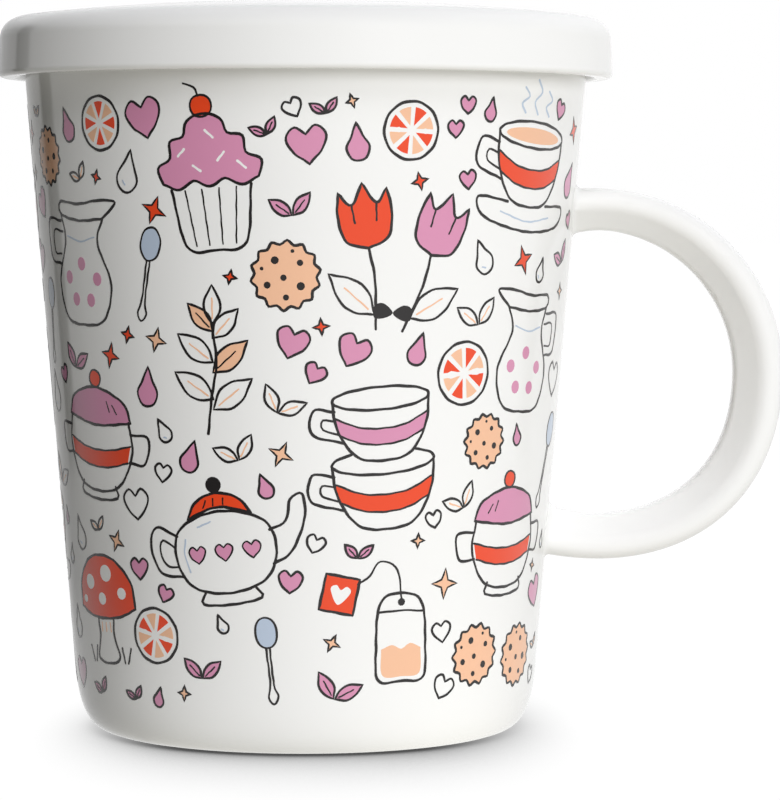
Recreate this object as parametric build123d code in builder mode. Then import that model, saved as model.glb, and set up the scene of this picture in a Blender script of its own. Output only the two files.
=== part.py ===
from build123d import *
from math import cos, radians, sin
import os

# A lidded tea mug: bone china cup, ring handle and cap lid, with a steel infuser basket hung on the rim.
# Millimetres. Z = 0 is the plane of the foot ring, Z is the cup's axis, and the handle points to +X.

# Cup
cup_height = 106.8
cup_mouth_radius = 44.0  # outside, where the wall's straight line meets the rim
cup_heel_radius = 36.25  # outside, where the straight wall turns in towards the foot
cup_heel_height = 12.2
cup_wall = 3.0
cup_lip_round = 1.4
cup_floor_top = 5.0
cup_inner_corner = 8.0
foot_radius = 31.0
foot_width = 3.0
foot_recess = 1.6
foot_slope = 1.4  # run of the foot ring's sloping inner side
toe_low_reach = 4.8  # how far the toe's curve follows the floor
toe_high_reach = 3.6  # how far below the heel it follows the wall's line

# Handle
ring_standoff = 5.25  # from the cup's wall out to the ring's centre
ring_centre_height = 55.3
ring_radius = 25.5
ring_lower_bulge = 0.8  # the ring swells by this much at its lower outer corner
handle_width = 11.6
handle_grip_thickness = 7.5
handle_upper_thickness = 6.2
handle_lower_thickness = 6.6
handle_root_flare = 1.12  # the section grows by this factor where it meets the cup
upper_root_angle = 97.0  # on the ring, from +X, where the section meets the cup
lower_root_angle = -107.0
root_flare_angle = 16.0
handle_root_fillet = 0.8
handle_sections = 17

# Lid
lid_clearance = 0.6  # round the cup's mouth
lid_skirt_wall = 3.1
lid_skirt_drop = 5.8  # the skirt hangs this far below the cup's rim
lid_plate = 2.5  # at the seat
lid_crown_rise = 2.85
lid_draft = 0.4  # the skirt is this much slimmer at its shoulder
lid_shoulder_round = 3.4
lid_hem_round = 0.8
lid_seat_width = 6.7
lid_ceiling_rise = 1.8

# Infuser
rim_sheet = 0.6
rim_flange_setback = 0.6  # from the edge of the cup's mouth
rim_bend = 1.2
collar_clearance = 0.9  # to the cup's inner wall at the mouth
collar_drop = 11.0
basket_height = 69.0  # from the cup's rim to the basket's lower face
basket_taper = 9.2  # the basket is this much slimmer at its lower face
sleeve_sheet = 0.4
sleeve_lap = 5.0
base_sheet = 0.5
base_wall = 4.5
hole_radius = 1.2
hole_rows = 8
holes_per_row = 26
hole_margin = 4.0
seam_angle = 90.0  # the sleeve's welded seam, at the back, is left without holes
base_hole_rings = 4
base_hole_pitch = 5.4

# Heights and radii that follow from them
wall_slope = (cup_mouth_radius - cup_heel_radius) / (cup_height - cup_heel_height)
lid_seat_height = cup_height + rim_sheet
lid_hem_height = cup_height - lid_skirt_drop
lid_shoulder_height = lid_seat_height + lid_plate
lid_bore_radius = cup_mouth_radius + lid_clearance
lid_radius = lid_bore_radius + lid_skirt_wall
rim_flange_radius = cup_mouth_radius - rim_flange_setback
collar_foot_height = cup_height - collar_drop
basket_foot_height = cup_height - basket_height
sleeve_top_height = collar_foot_height + sleeve_lap
sleeve_foot_height = basket_foot_height + base_sheet


def cup_radius(height):
    """Outside radius of the straight wall."""
    return cup_mouth_radius - wall_slope * (cup_height - height)


def basket_radius(height):
    """Outside radius of the rim's collar, which the whole basket tapers with."""
    mouth = cup_mouth_radius - cup_wall - collar_clearance
    return mouth - basket_taper * (cup_height - height) / basket_height


def draw_cup_side():
    """The toe's curve, from the foot ring up to the heel."""
    heel_line = (cup_radius(cup_heel_height - toe_high_reach), cup_heel_height - toe_high_reach)
    Bezier(
        (foot_radius, 0),
        (foot_radius + toe_low_reach, 0),
        heel_line,
        (cup_heel_radius, cup_heel_height),
    )


# Cup: a tapered wall on a foot ring, with a rounded lip
with BuildPart() as mug_cup:
    with BuildSketch(Plane.XZ):
        with BuildLine():
            Polyline(
                (0, cup_floor_top),
                (0, foot_recess),
                (foot_radius - foot_width - foot_slope, foot_recess),
                (foot_radius - foot_width, 0),
                (foot_radius, 0),
            )
            draw_cup_side()
            FilletPolyline(
                (cup_heel_radius, cup_heel_height),
                (cup_mouth_radius, cup_height),
                (cup_mouth_radius - cup_wall, cup_height),
                (cup_radius(cup_floor_top) - cup_wall, cup_floor_top),
                (0, cup_floor_top),
                radius=[cup_lip_round, cup_lip_round, cup_inner_corner],
            )
        make_face()
    revolve(axis=Axis.Z)
mug_cup.part.label = "mug_cup"

# The cup's outside as one solid block, for blending the handle's roots into the wall
with BuildPart() as cup_block:
    with BuildSketch(Plane.XZ):
        with BuildLine():
            Polyline((cup_mouth_radius, cup_height), (0, cup_height), (0, 0), (foot_radius, 0))
            draw_cup_side()
            Line((cup_heel_radius, cup_heel_height), (cup_mouth_radius, cup_height))
        make_face()
    revolve(axis=Axis.Z)


def handle_section(angle):
    """Ring radius and section thickness at an angle on the handle's ring, in degrees from +X."""
    upper = angle > 0
    root = upper_root_angle if upper else lower_root_angle
    root_thickness = handle_upper_thickness if upper else handle_lower_thickness
    share = (1 - cos(radians(angle))) / (1 - cos(radians(root)))
    thickness = handle_grip_thickness + share * (root_thickness - handle_grip_thickness)
    bulge = 0 if upper or angle < -90 else ring_lower_bulge * (1 - cos(radians(4 * angle))) / 2
    near = max(0.0, 1 - (abs(root) - abs(angle)) / root_flare_angle)
    flare = 1 + (handle_root_flare - 1) * near**2
    return ring_radius + bulge, thickness, flare


# Handle: an oval section lofted round the ring, blended into the cup's wall and trimmed to it
with BuildPart() as mug_handle:
    ring_centre_x = cup_radius(ring_centre_height) + ring_standoff
    first = upper_root_angle + root_flare_angle
    last = lower_root_angle - root_flare_angle
    for step in range(handle_sections):
        angle = first + (last - first) * step / (handle_sections - 1)
        reach, thickness, flare = handle_section(angle)
        outwards = Vector(cos(radians(angle)), 0, sin(radians(angle)))
        centre = Vector(ring_centre_x, 0, ring_centre_height) + outwards * reach
        along = Vector(sin(radians(angle)), 0, -cos(radians(angle)))
        with BuildSketch(Plane(origin=centre, x_dir=outwards, z_dir=along)):
            Ellipse(thickness * flare / 2, handle_width * flare / 2)
    loft()
    add(cup_block.part)
    fillet(edges(Select.NEW), handle_root_fillet)
    add(cup_block.part, mode=Mode.SUBTRACT)
mug_handle.part.label = "mug_handle"

# Lid: a shallow dome with a skirt that hangs over the cup's lip
with BuildPart() as lid:
    with BuildSketch(Plane.XZ):
        with BuildLine():
            TangentArc(
                (0, lid_shoulder_height + lid_crown_rise),
                (lid_radius - lid_draft, lid_shoulder_height),
                tangent=(1, 0),
            )
            Polyline(
                (lid_radius - lid_draft, lid_shoulder_height),
                (lid_radius, lid_hem_height),
                (lid_bore_radius, lid_hem_height),
                (lid_bore_radius, lid_seat_height),
                (lid_bore_radius - lid_seat_width, lid_seat_height),
            )
            TangentArc(
                (0, lid_seat_height + lid_ceiling_rise),
                (lid_bore_radius - lid_seat_width, lid_seat_height),
                tangent=(1, 0),
            )
            Line((0, lid_seat_height + lid_ceiling_rise), (0, lid_shoulder_height + lid_crown_rise))
        make_face()
        fillet(vertices().sort_by(Axis.X)[-2], lid_shoulder_round)
        fillet(vertices().group_by(Axis.Y)[0], lid_hem_round)
    revolve(axis=Axis.Z)
lid.part.label = "lid"

# Infuser rim: a flange that rests on the cup's lip, drawn down into a collar
with BuildPart() as infuser_rim:
    with BuildSketch(Plane.XZ):
        with BuildLine():
            FilletPolyline(
                (basket_radius(collar_foot_height), collar_foot_height),
                (basket_radius(cup_height), cup_height),
                (rim_flange_radius, cup_height),
                radius=rim_bend - rim_sheet,
            )
            Line((rim_flange_radius, cup_height), (rim_flange_radius, lid_seat_height))
            FilletPolyline(
                (rim_flange_radius, lid_seat_height),
                (basket_radius(lid_seat_height) - rim_sheet, lid_seat_height),
                (basket_radius(collar_foot_height) - rim_sheet, collar_foot_height),
                radius=rim_bend,
            )
            Line(
                (basket_radius(collar_foot_height) - rim_sheet, collar_foot_height),
                (basket_radius(collar_foot_height), collar_foot_height),
            )
        make_face()
    revolve(axis=Axis.Z)
infuser_rim.part.label = "infuser_rim"


def wall_outline(low, high, offset, sheet):
    """Corners of a tapered ring of sheet whose outside lies offset inside the collar's outside."""
    return (
        (basket_radius(low) - offset, low),
        (basket_radius(high) - offset, high),
        (basket_radius(high) - offset - sheet, high),
        (basket_radius(low) - offset - sheet, low),
    )


# Infuser sleeve: rolled sheet with staggered rows of holes
with BuildPart() as infuser_sleeve:
    with BuildSketch(Plane.XZ):
        sleeve_corners = wall_outline(sleeve_foot_height, sleeve_top_height, rim_sheet, sleeve_sheet)
        with BuildLine():
            Polyline(*sleeve_corners, close=True)
        make_face()
    revolve(axis=Axis.Z)
    low = basket_foot_height + base_wall + hole_margin
    high = collar_foot_height - hole_margin
    cut_depth = 3 * rim_sheet
    hole_planes = []
    for row in range(hole_rows):
        height = low + (high - low) * row / (hole_rows - 1)
        stagger = row % 2 / 2
        for place in range(holes_per_row - row % 2):
            turn = radians(seam_angle + 360 * (place + 1 + stagger) / (holes_per_row + 1))
            outwards = Vector(cos(turn), sin(turn), 0)
            start = outwards * (basket_radius(height) - cut_depth) + Vector(0, 0, height)
            hole_planes.append(Plane(origin=start, x_dir=(0, 0, 1), z_dir=outwards))
    with BuildSketch(*hole_planes):
        Circle(hole_radius)
    extrude(amount=cut_depth, mode=Mode.SUBTRACT)
infuser_sleeve.part.label = "infuser_sleeve"

# Infuser base: a perforated cap over the sleeve's lower end
with BuildPart() as infuser_base:
    with BuildSketch(Plane.XZ):
        base_top_height = basket_foot_height + base_wall
        cap_corners = wall_outline(basket_foot_height, base_top_height, rim_sheet - base_sheet, base_sheet)
        with BuildLine():
            Polyline(*cap_corners, close=True)
        make_face()
        with BuildLine():
            Polyline(
                (0, basket_foot_height),
                (basket_radius(basket_foot_height) - rim_sheet, basket_foot_height),
                (basket_radius(sleeve_foot_height) - rim_sheet, sleeve_foot_height),
                (0, sleeve_foot_height),
                close=True,
            )
        make_face()
    revolve(axis=Axis.Z)
    with BuildSketch(Plane.XY.offset(basket_foot_height)):
        Circle(hole_radius)
        for ring in range(1, base_hole_rings + 1):
            with PolarLocations(ring * base_hole_pitch, 6 * ring):
                Circle(hole_radius)
    extrude(amount=base_sheet, mode=Mode.SUBTRACT)
infuser_base.part.label = "infuser_base"

os.makedirs("parts", exist_ok=True)
for piece in (mug_cup, mug_handle, lid, infuser_rim, infuser_sleeve, infuser_base):
    export_step(piece.part, f"parts/{piece.part.label}.step")
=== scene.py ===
import math
import random

import bpy
from mathutils import Matrix, Vector
from mathutils.geometry import delaunay_2d_cdt
from mathutils.kdtree import KDTree


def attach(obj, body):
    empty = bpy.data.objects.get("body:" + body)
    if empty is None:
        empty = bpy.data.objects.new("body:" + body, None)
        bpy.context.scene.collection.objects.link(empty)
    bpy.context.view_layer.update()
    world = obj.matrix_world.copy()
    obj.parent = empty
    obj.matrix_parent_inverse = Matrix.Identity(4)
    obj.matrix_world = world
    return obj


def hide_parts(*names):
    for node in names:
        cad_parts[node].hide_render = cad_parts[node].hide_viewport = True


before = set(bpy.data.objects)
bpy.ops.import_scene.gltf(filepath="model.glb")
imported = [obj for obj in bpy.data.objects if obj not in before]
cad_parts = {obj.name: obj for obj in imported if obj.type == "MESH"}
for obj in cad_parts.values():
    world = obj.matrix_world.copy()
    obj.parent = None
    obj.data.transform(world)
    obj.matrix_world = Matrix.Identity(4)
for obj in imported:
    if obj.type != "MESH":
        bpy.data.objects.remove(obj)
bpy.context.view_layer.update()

MM = 0.001

# Sizes in millimetres, as in the part's source

# Cup
CUP_HEIGHT = 106.8
MOUTH_RADIUS = 44.0
HEEL_RADIUS = 36.25
HEEL_HEIGHT = 12.2
CUP_WALL = 3.0
LIP_ROUND = 1.45
FLOOR_TOP = 5.0
INNER_CORNER = 8.0
FOOT_RADIUS = 31.0
FOOT_WIDTH = 3.0
FOOT_RECESS = 1.6
FOOT_SLOPE = 1.4
FOOT_ROUND = 0.5
RECESS_ROUND = 1.2
BARE_HEIGHT = 0.05  # below it, the foot ring is wiped free of glaze
TOE_LOW_REACH = 4.8
TOE_HIGH_REACH = 3.6
TOE_STEPS = 18
WALL_STEPS = 24
BELOW_LIP = 4  # the wall's steps end this far under the rim

# Handle
RING_STANDOFF = 5.25
RING_HEIGHT = 55.3
RING_RADIUS = 25.5
RING_LOWER_BULGE = 0.8
HANDLE_WIDTH = 11.6
GRIP_THICKNESS = 7.5
UPPER_THICKNESS = 6.2
LOWER_THICKNESS = 6.6
SIDE_LEAN = math.radians(43)  # the section's sides come together towards the finger gap
OUTER_ROUND = 2.4  # at the section's two outer corners
INNER_ROUND = 2.2
ROOT_FLARE = 1.12
UPPER_ROOT = math.radians(97)  # from +X, about where the ring meets the cup
LOWER_ROOT = math.radians(-107)
FLARE_ANGLE = math.radians(16)
ROOT_FILLET = 0.8
ROOT_SINK = 0.04  # the fillet's last edge is this far inside the wall
PAST_ROOT = 0.45  # radians past each root, where the ring is inside the cup
ON_RING = 1.2  # radians from +X, up or down, where the ring is clear of the cup
HALVINGS = 30  # in the search for a point of the fillet
FILLET_STEPS = 8
RING_STEPS = 96

# Lid
LID_CLEARANCE = 0.6
SKIRT_WALL = 3.1
SKIRT_DROP = 5.8
LID_PLATE = 2.5
CROWN_RISE = 2.85
LID_DRAFT = 0.4
SHOULDER_ROUND = 3.4
HEM_ROUND = 0.8
SEAT_WIDTH = 6.7
CEILING_RISE = 1.8
BORE_ROUND = 0.8
SEAT_ROUND = 1.0
DOME_STEPS = 20

# Infuser
RIM_SHEET = 0.6
FLANGE_SETBACK = 0.6
RIM_BEND = 1.2
COLLAR_CLEARANCE = 0.9
COLLAR_DROP = 11.0
BASKET_HEIGHT = 69.0
BASKET_TAPER = 9.2
SLEEVE_SHEET = 0.4
SLEEVE_LAP = 5.0
BASE_SHEET = 0.5
BASE_WALL = 4.5
SHEET_EDGE = 0.28  # rounds of the rim's cut edges
CAP_BEND = 0.9
CAP_EDGE = 0.2
CAP_LAP = 0.6  # the cap's side and its floor overlap by this
HOLE_MARGIN = 4.0
HOLE_RADIUS = 0.75
HOLE_PITCH = 3.0
HOLE_SIDES = 16
IN_HOLE = 0.97  # a floor triangle is in a hole if its middle is within this share of the hole's radius
FLOOR_SIDES = 96

TURNS = 256  # facets round the cup's axis
MERGE = 1e-5  # flat points closer than this are one
METAL_CREASE = math.radians(35)  # sharper edges aren't shaded smooth
PRINT_CREASE = math.radians(40)

wall_slope = (MOUTH_RADIUS - HEEL_RADIUS) / (CUP_HEIGHT - HEEL_HEIGHT)
seat_height = CUP_HEIGHT + RIM_SHEET
shoulder_height = seat_height + LID_PLATE
hem_height = CUP_HEIGHT - SKIRT_DROP
lid_bore = MOUTH_RADIUS + LID_CLEARANCE
lid_radius = lid_bore + SKIRT_WALL
flange_radius = MOUTH_RADIUS - FLANGE_SETBACK
collar_foot = CUP_HEIGHT - COLLAR_DROP
basket_foot = CUP_HEIGHT - BASKET_HEIGHT
sleeve_foot = basket_foot + BASE_SHEET
sleeve_top = collar_foot + SLEEVE_LAP


# Shader nodes

def add_node(tree, kind, inputs=None, **settings):
    """A new node. Its inputs get values, or links from other nodes' outputs."""
    node = tree.nodes.new("ShaderNode" + kind)
    for key, value in settings.items():
        setattr(node, key, value)
    for key, value in (inputs or {}).items():
        if isinstance(value, bpy.types.NodeSocket):
            tree.links.new(value, node.inputs[key])
        else:
            node.inputs[key].default_value = value
    return node


def node_tree(owner):
    """The empty node tree of a material or world."""
    owner.use_nodes = True
    owner.node_tree.nodes.clear()
    return owner.node_tree


# Materials

def noise(tree, scale, detail=2.0, stretch=(1, 1, 1)):
    """Noise from 0 to 1 on the object's own coordinates, finer along the axes with the larger stretch."""
    place = add_node(tree, "TexCoord").outputs["Object"]
    mapping = add_node(tree, "Mapping", {"Vector": place, "Scale": stretch})
    inputs = {"Vector": mapping.outputs["Vector"], "Scale": scale, "Detail": detail}
    return add_node(tree, "TexNoise", inputs).outputs["Fac"]


def textured(name, colour, roughness, spread, patches, depth, grain, **values):
    """A Principled material, its constant values on the shader's own sockets.

    Its roughness is spread between two values in patches of noise, and its relief is a grain of noise
    with a depth in millimetres.
    """
    material = bpy.data.materials.new(name)
    material.use_nodes = True
    tree = material.node_tree
    shader = tree.nodes["Principled BSDF"]
    values = {"Base Color": (*colour, 1), "Roughness": roughness, **values}
    for key, value in values.items():
        shader.inputs[key].default_value = value
    low, high = spread
    rough = add_node(tree, "MapRange", {"Value": noise(tree, *patches), "To Min": low, "To Max": high})
    tree.links.new(rough.outputs["Result"], shader.inputs["Roughness"])
    relief = {"Height": noise(tree, *grain), "Strength": 1.0, "Distance": depth * MM}
    tree.links.new(add_node(tree, "Bump", relief).outputs["Normal"], shader.inputs["Normal"])
    return material


STEEL_COLOUR = (0.60, 0.59, 0.575)


def steel(name, low, high, stretch):
    """Satin stainless steel, with the fine lines that its rolling or turning leaves."""
    marks = (300, 3.0, stretch)
    return textured(name, STEEL_COLOUR, low, (low, high), marks, 0.01, marks, Metallic=1.0)


WHITE = (0.86, 0.855, 0.825)
INK_COLOURS = {
    "black": (0.014, 0.012, 0.012),
    "orange": (0.80, 0.06, 0.01),
    "mauve": (0.66, 0.27, 0.42),
    "peach": (0.86, 0.50, 0.31),
    "blue": (0.47, 0.55, 0.66),
    "white": WHITE,
}
# Thin clear glaze over white china: glossy, with the faint waviness of a fired glaze
china = textured("china_glaze", WHITE, 0.08, (0.06, 0.11), (60,), 0.03, (45, 1.0), IOR=1.5)
# The wiped foot ring, where there is no glaze
foot_china = textured("bare_china", (0.78, 0.75, 0.70), 0.65, (0.55, 0.8), (900,), 0.03, (2500,))
# Print fired under the glaze: as glossy as the china, with a slightly uneven film
INKS = {
    name: textured(f"ink_{name}", colour, 0.12, (0.09, 0.2), (700,), 0.004, (1500,), IOR=1.5)
    for name, colour in INK_COLOURS.items()
}
drawn_steel = steel("steel_drawn", 0.16, 0.30, (1, 1, 14))
rolled_steel = steel("steel_rolled", 0.22, 0.38, (1, 1, 9))


# Meshes

def add_object(name, data):
    thing = bpy.data.objects.new(name, data)
    bpy.context.scene.collection.objects.link(thing)
    return thing


def mesh_object(name, vertices, faces, materials, body, slot, node=None, sharp=None):
    """A mesh piece from millimetre vertices, riding on its body."""
    mesh = bpy.data.meshes.new(name)
    mesh.from_pydata([Vector(v) * MM for v in vertices], [], faces)
    for material in materials:
        mesh.materials.append(material)
    mesh.validate()
    mesh.shade_smooth()
    if sharp is not None:
        mesh.set_sharp_from_angle(angle=sharp)
    piece = add_object(name, mesh)
    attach(piece, body)
    if node:
        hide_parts(node)
    return piece


def rounded(corners, steps=8, hold=0.5, closed=False):
    """Outline round (x, y, radius) corners: an arc at each, and a point on the straight either side."""
    places = [Vector(corner[:2]) for corner in corners]
    outline = []
    for i, here in enumerate(places):
        radius = corners[i][2]
        if radius == 0 or (not closed and i in (0, len(places) - 1)):
            outline.append(here)
            continue
        back = (places[i - 1] - here).normalized()
        on = (places[(i + 1) % len(places)] - here).normalized()
        half = back.angle(on) / 2
        centre = here + (back + on).normalized() * radius / math.sin(half)
        start = here + back * radius / math.tan(half) - centre
        sweep = math.pi - 2 * half
        sweep *= 1 if back.x * on.y - back.y * on.x < 0 else -1
        outline.append(centre + start + back * hold)
        for step in range(steps + 1):
            outline.append(centre + Matrix.Rotation(sweep * step / steps, 2) @ start)
        outline.append(here + on * (radius / math.tan(half) + hold))
    return outline


def strip(low, high):
    """Quads between two rows of vertices."""
    return list(zip(low, low[1:], high[1:], high))


def lathe(outline, closed=False):
    """Vertices and faces of a (radius, height) outline turned about Z; ends on the axis become poles."""
    vertices, faces, rings = [], [], []
    for radius, height in outline:
        count = TURNS if radius > MERGE else 1
        ring = list(range(len(vertices), len(vertices) + count))
        rings.append(ring + ring[:1])
        for turn in range(count):
            angle = 2 * math.pi * turn / TURNS
            vertices.append((radius * math.cos(angle), radius * math.sin(angle), height))
    for low, high in zip(rings, rings[1:] + rings[:1] if closed else rings[1:]):
        if len(low) == 2:
            faces += [(low[0], b, a) for a, b in zip(high, high[1:])]
        elif len(high) == 2:
            faces += [(a, b, high[0]) for a, b in zip(low, low[1:])]
        else:
            faces += strip(low, high)
    return vertices, faces


def unit(turn):
    """The flat direction at an angle from +X."""
    return Vector((math.cos(turn), math.sin(turn)))


def open_edges(triangles):
    """Edges that only one triangle has, in its own direction."""
    edges = set()
    for triangle in triangles:
        for a, b in zip(triangle, triangle[1:] + triangle[:1]):
            if (b, a) in edges:
                edges.remove((b, a))
            else:
                edges.add((a, b))
    return sorted(edges)


def plate_faces(triangles, start, layer):
    """Faces of a thin plate: its triangles on top, the same a layer of vertices on, and its edges."""
    faces = []
    for triangle in triangles:
        faces.append(tuple(start + i for i in triangle))
        faces.append(tuple(start + layer + i for i in reversed(triangle)))
    for a, b in open_edges(triangles):
        faces.append((start + b, start + a, start + layer + a, start + layer + b))
    return faces


# Cup

def toe_point(share):
    """Radius and height on the toe's curve, from the foot ring to the heel."""
    low = HEEL_HEIGHT - TOE_HIGH_REACH
    points = (
        Vector((FOOT_RADIUS, 0)),
        Vector((FOOT_RADIUS + TOE_LOW_REACH, 0)),
        Vector((HEEL_RADIUS - wall_slope * TOE_HIGH_REACH, low)),
        Vector((HEEL_RADIUS, HEEL_HEIGHT)),
    )
    rest = 1 - share
    weights = (rest**3, 3 * rest**2 * share, 3 * rest * share**2, share**3)
    return sum((w * p for w, p in zip(weights, points)), Vector((0, 0)))


TOE = [toe_point(i / TOE_STEPS) for i in range(TOE_STEPS + 1)]


def side_radius(height):
    """Outside radius of the cup at a height."""
    if height >= HEEL_HEIGHT:
        return MOUTH_RADIUS - wall_slope * (CUP_HEIGHT - height)
    for low, high in zip(TOE, TOE[1:]):
        if height <= high.y:
            return low.x + (high.x - low.x) * max(0.0, height - low.y) / (high.y - low.y)
    return HEEL_RADIUS


def make_cup():
    inner_foot = FOOT_RADIUS - FOOT_WIDTH
    floor_radius = MOUTH_RADIUS - wall_slope * (CUP_HEIGHT - FLOOR_TOP) - CUP_WALL
    underside = rounded(
        [
            (0, FOOT_RECESS, 0),
            (inner_foot - FOOT_SLOPE, FOOT_RECESS, RECESS_ROUND),
            (inner_foot, 0, FOOT_ROUND),
            (FOOT_RADIUS, 0, 0),
        ]
    )
    hollow = rounded(
        [
            (HEEL_RADIUS, HEEL_HEIGHT, 0),
            (MOUTH_RADIUS, CUP_HEIGHT, LIP_ROUND),
            (MOUTH_RADIUS - CUP_WALL, CUP_HEIGHT, LIP_ROUND),
            (floor_radius, FLOOR_TOP, INNER_CORNER),
            (0, FLOOR_TOP, 0),
        ],
        steps=12,
        hold=0.04,
    )
    top = CUP_HEIGHT - BELOW_LIP
    wall = []
    for i in range(1, WALL_STEPS):
        height = HEEL_HEIGHT + (top - HEEL_HEIGHT) * i / WALL_STEPS
        wall.append(Vector((side_radius(height), height)))
    vertices, faces = lathe(underside + TOE[1:] + wall + hollow[1:])
    piece = mesh_object("cup_glazed", vertices, faces, [china, foot_china], "mug", "china", "mug_cup")
    for face in piece.data.polygons:
        radius = math.hypot(face.center.x, face.center.y) / MM
        if face.center.z < BARE_HEIGHT * MM and radius > inner_foot:
            face.material_index = 1


# Handle

def handle_section():
    """Points of the grip's section, in millimetres outwards on the ring and sideways, and their normals."""
    half, side = GRIP_THICKNESS / 2, HANDLE_WIDTH / 2
    touch = Vector((half, side)) - Vector((1, 1)) * OUTER_ROUND
    touch += Vector((-math.sin(SIDE_LEAN), math.cos(SIDE_LEAN))) * OUTER_ROUND
    inner, outer = (touch.y + math.tan(SIDE_LEAN) * (x - touch.x) for x in (-half, half))
    corners = [
        (half, outer, OUTER_ROUND),
        (-half, inner, INNER_ROUND),
        (-half, -inner, INNER_ROUND),
        (half, -outer, OUTER_ROUND),
    ]
    points = rounded(corners, hold=0.3, closed=True)
    section = []
    for i, point in enumerate(points):
        along = points[(i + 1) % len(points)] - points[i - 1]
        section.append((point, Vector((along.y, -along.x)).normalized()))
    return section


def handle_point(angle, spot):
    """A spot of the section at an angle on the handle's ring."""
    upper = angle > 0
    root = UPPER_ROOT if upper else LOWER_ROOT
    root_thickness = UPPER_THICKNESS if upper else LOWER_THICKNESS
    share = (1 - math.cos(angle)) / (1 - math.cos(root))
    thickness = GRIP_THICKNESS + share * (root_thickness - GRIP_THICKNESS)
    lower = -math.pi / 2 < angle < 0
    bulge = RING_LOWER_BULGE * (1 - math.cos(4 * angle)) / 2 if lower else 0
    near = max(0.0, 1 - (abs(root) - abs(angle)) / FLARE_ANGLE)
    flare = 1 + (ROOT_FLARE - 1) * near**2
    reach = RING_RADIUS + bulge + spot.x * flare * thickness / GRIP_THICKNESS
    x = side_radius(RING_HEIGHT) + RING_STANDOFF + reach * math.cos(angle)
    return Vector((x, spot.y * flare, RING_HEIGHT + reach * math.sin(angle)))


def off_wall(point):
    """Distance from the cup's side, positive outside it."""
    return math.hypot(point.x, point.y) - side_radius(point.z)


def angle_at(spot, distance, inside, outside):
    """Angle on the ring where a line along the handle stands that far off the cup."""
    for _ in range(HALVINGS):
        middle = (inside + outside) / 2
        if off_wall(handle_point(middle, spot)) < distance:
            inside = middle
        else:
            outside = middle
    return middle


def fillet_end(spot, outwards, root):
    """One root's fillet, from the ring to the wall, and the angle on the ring where it starts."""
    way = math.copysign(1, root)
    points, angles = [], []
    for step in range(FILLET_STEPS + 1):
        turn = math.pi / 2 * step / FILLET_STEPS
        distance = ROOT_FILLET * (1 - math.sin(turn))
        spread = ROOT_FILLET * (1 - math.cos(turn))
        angle = angle_at(spot, distance, root + way * PAST_ROOT, way * ON_RING)
        facing = Vector((math.cos(angle) * outwards.x, outwards.y, math.sin(angle) * outwards.x))
        point = handle_point(angle, spot) + facing * spread
        sunk = ROOT_SINK if step == FILLET_STEPS else 0.0
        scale = (side_radius(point.z) + distance - sunk) / math.hypot(point.x, point.y)
        points.append(Vector((point.x * scale, point.y * scale, point.z)))
        angles.append(angle)
    return points, angles[0]


def make_handle():
    """The ring, with a small fillet where each root runs into the cup's wall."""
    section = handle_section()
    vertices, faces = [], []
    for spot, outwards in section:
        upper, first = fillet_end(spot, outwards, UPPER_ROOT)
        lower, last = fillet_end(spot, outwards, LOWER_ROOT)
        angles = [first + (last - first) * step / RING_STEPS for step in range(1, RING_STEPS)]
        vertices += upper[::-1] + [handle_point(angle, spot) for angle in angles] + lower
    length = len(vertices) // len(section)
    rows = [range(i * length, (i + 1) * length) for i in range(len(section))]
    for here, beside in zip(rows, rows[1:] + rows[:1]):
        faces += strip(here, beside)
    faces.append([row[0] for row in rows])
    faces.append([row[-1] for row in reversed(rows)])
    mesh_object("handle_glazed", vertices, faces, [china], "mug", "china", "mug_handle")


# Lid

def dome(edge_radius, edge_height, rise):
    """A shallow dome's corners from the axis to a tenth short of its edge, clear of the edge's round."""
    shares = [i / DOME_STEPS for i in range(DOME_STEPS - 1)]
    return [(edge_radius * share, edge_height + rise * (1 - share**2), 0) for share in shares]


def make_lid():
    seat_radius = lid_bore - SEAT_WIDTH
    shoulder_radius = lid_radius - LID_DRAFT
    edge = [
        (shoulder_radius, shoulder_height, SHOULDER_ROUND),
        (lid_radius, hem_height, HEM_ROUND),
        (lid_bore, hem_height, HEM_ROUND),
        (lid_bore, seat_height, BORE_ROUND),
        (seat_radius, seat_height, SEAT_ROUND),
    ]
    top = dome(shoulder_radius, shoulder_height, CROWN_RISE)
    ceiling = dome(seat_radius, seat_height, CEILING_RISE)
    vertices, faces = lathe(rounded(top + edge + ceiling[::-1], steps=10, hold=0.1))
    mesh_object("lid_glazed", vertices, faces, [china], "lid", "china", "lid")


# Infuser

def basket_radius(height):
    """Outside radius of the rim's collar, which the whole basket tapers with."""
    mouth = MOUTH_RADIUS - CUP_WALL - COLLAR_CLEARANCE
    return mouth - BASKET_TAPER * (CUP_HEIGHT - height) / BASKET_HEIGHT


def steel_piece(name, shape, material, node=None, sharp=None):
    """A piece of the infuser, from its vertices and faces."""
    mesh_object(name, *shape, [material], "infuser", "steel", node, sharp)


def make_infuser_rim():
    corners = [
        (flange_radius, CUP_HEIGHT, SHEET_EDGE),
        (flange_radius, seat_height, SHEET_EDGE),
        (basket_radius(seat_height) - RIM_SHEET, seat_height, RIM_BEND),
        (basket_radius(collar_foot) - RIM_SHEET, collar_foot, SHEET_EDGE),
        (basket_radius(collar_foot), collar_foot, SHEET_EDGE),
        (basket_radius(CUP_HEIGHT), CUP_HEIGHT, RIM_BEND - RIM_SHEET),
    ]
    shape = lathe(rounded(corners, steps=6, hold=0.01, closed=True), closed=True)
    steel_piece("infuser_rim_steel", shape, drawn_steel, "infuser_rim")


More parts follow.
